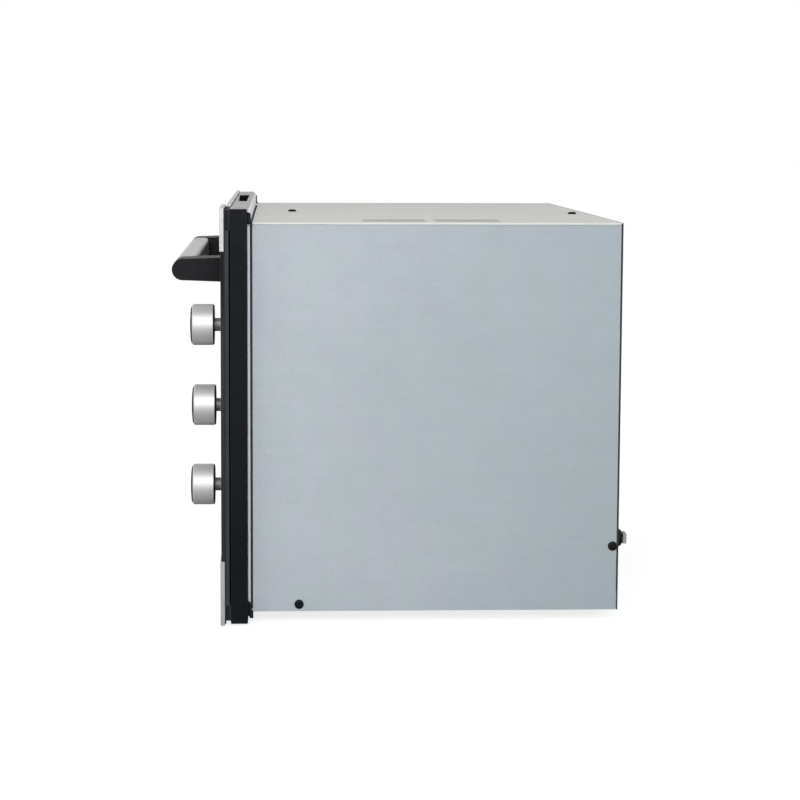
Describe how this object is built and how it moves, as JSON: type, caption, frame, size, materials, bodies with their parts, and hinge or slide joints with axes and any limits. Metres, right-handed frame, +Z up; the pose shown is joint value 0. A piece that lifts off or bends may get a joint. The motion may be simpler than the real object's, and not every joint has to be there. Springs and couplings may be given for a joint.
{
  "type": "compact built-in deck oven",
  "caption": "Compact built-in electric oven: galvanised casing, black front bezel, drop-down glass door with bar handle, side column of turning knobs, rack and stone deck inside.",
  "frame": {"origin": "centre of the casing's underside", "axes": "+X to the right as seen from the front, +Y to the back, +Z up; the front faces -Y"},
  "size_m": [0.583, 0.4626, 0.4158],
  "materials": {
    "galvanised": "galvanised spangle",
    "zinc_top": "satin zinc",
    "zinc_plate": "bright zinc",
    "back_sheet": "dark satin",
    "black_screw": "blackened steel",
    "bezel_black": "black semi-gloss moulding",
    "black_plastic": "fine matt texture",
    "grey_plastic": "satin",
    "dark_foam": "foam",
    "black_glass": "back-painted polished glass",
    "pane_glass": "clear tempered glass",
    "brushed_steel": "fine horizontal brushing",
    "handle_metal": "satin anodised",
    "knob_metal": "turned satin",
    "spindle_metal": "machined",
    "cavity_enamel": "speckled vitreous enamel",
    "wool": "mineral wool",
    "gasket_rubber": "silicone",
    "stone": "cordierite stone",
    "heater_sheath": "oxidised sheath",
    "chrome_wire": "bright plated wire",
    "ceramic": "glazed steatite",
    "lamp_glass": "clear",
    "tray_steel": "dark enamelled steel"
  },
  "bodies": {
    "oven": {"casing_side_right": "galvanised", "casing_side_left": "galvanised", "casing_top": "zinc_top", "casing_base": "galvanised", "casing_back": "back_sheet", "casing_screws": "black_screw", "front_plate": "zinc_plate", "front_seal": "dark_foam", "bezel_frame": "bezel_black", "corner_spacers": "black_plastic", "top_crossbar": "zinc_plate", "compartment_divider": "galvanised", "support_rails": "galvanised", "cavity_liner": "cavity_enamel", "insulation_blanket": "wool", "door_gasket": "gasket_rubber", "deck_rails": "chrome_wire", "deck_stone": "stone", "upper_heater": "heater_sheath", "lower_heater": "heater_sheath", "rack_guides": "chrome_wire", "lamp_holder": "ceramic", "lamp_bulb": "lamp_glass", "lamp_lens": "lamp_glass", "fan_frame": "black_plastic", "control_carrier": "grey_plastic", "control_gasket": "gasket_rubber", "control_glass": "black_glass", "control_strip_top": "brushed_steel", "control_strip_foot": "brushed_steel", "control_bracket": "zinc_plate", "thermostat": "ceramic", "function_switch": "ceramic", "timer": "ceramic", "terminal_block": "ceramic", "cable_gland": "black_plastic", "cord_clamp": "grey_plastic", "lower_fascia": "black_glass", "fascia_strip": "brushed_steel", "hinge_brackets": "zinc_plate"},
    "door": {"door_glass": "black_glass", "door_strip": "brushed_steel", "door_frame": "bezel_black", "door_inner_glass": "pane_glass", "hinge_arms": "zinc_plate", "handle_bar": "handle_metal", "handle_brackets": "black_plastic", "handle_screws": "zinc_plate"},
    "temperature_knob": {"temperature_knob_core": "black_plastic", "temperature_knob_sleeve": "knob_metal", "temperature_spindle": "spindle_metal"},
    "function_knob": {"function_knob_core": "black_plastic", "function_knob_sleeve": "knob_metal", "function_spindle": "spindle_metal"},
    "timer_knob": {"timer_knob_core": "black_plastic", "timer_knob_sleeve": "knob_metal", "timer_spindle": "spindle_metal"},
    "rack": {"wire_rack": "chrome_wire", "baking_tray": "tray_steel"},
    "fan": {"fan_impeller": "black_plastic"}
  },
  "joints": [
    {"name": "door_hinge", "type": "hinge", "parent": "oven", "child": "door", "pos_m": [-0.043, -0.2015, 0.062], "axis": [1, 0, 0], "range_deg": [0, 90], "stiffness_Nm_per_rad": 4, "springref_deg": -20.05},
    {"name": "rack_slide", "type": "slide", "parent": "oven", "child": "rack", "axis": [0, -1, 0], "range_m": [0, 0.126]},
    {"name": "temperature_turn", "type": "hinge", "parent": "oven", "child": "temperature_knob", "pos_m": [0.24375, -0.23, 0.2855], "axis": [0, 1, 0], "range_deg": [0, 270]},
    {"name": "function_turn", "type": "hinge", "parent": "oven", "child": "function_knob", "pos_m": [0.24375, -0.23, 0.2045], "axis": [0, 1, 0], "range_deg": [0, 270]},
    {"name": "timer_turn", "type": "hinge", "parent": "oven", "child": "timer_knob", "pos_m": [0.24375, -0.23, 0.1235], "axis": [0, 1, 0], "range_deg": [0, 300]},
    {"name": "fan_spin", "type": "hinge", "parent": "oven", "child": "fan", "pos_m": [0.229, -0.004, 0.37], "axis": [0, 0, 1], "continuous": true}
  ],
  "couplings": [
    {"joint": "rack_slide", "follows": "door_hinge", "m_per_rad": 0.08}
  ]
}
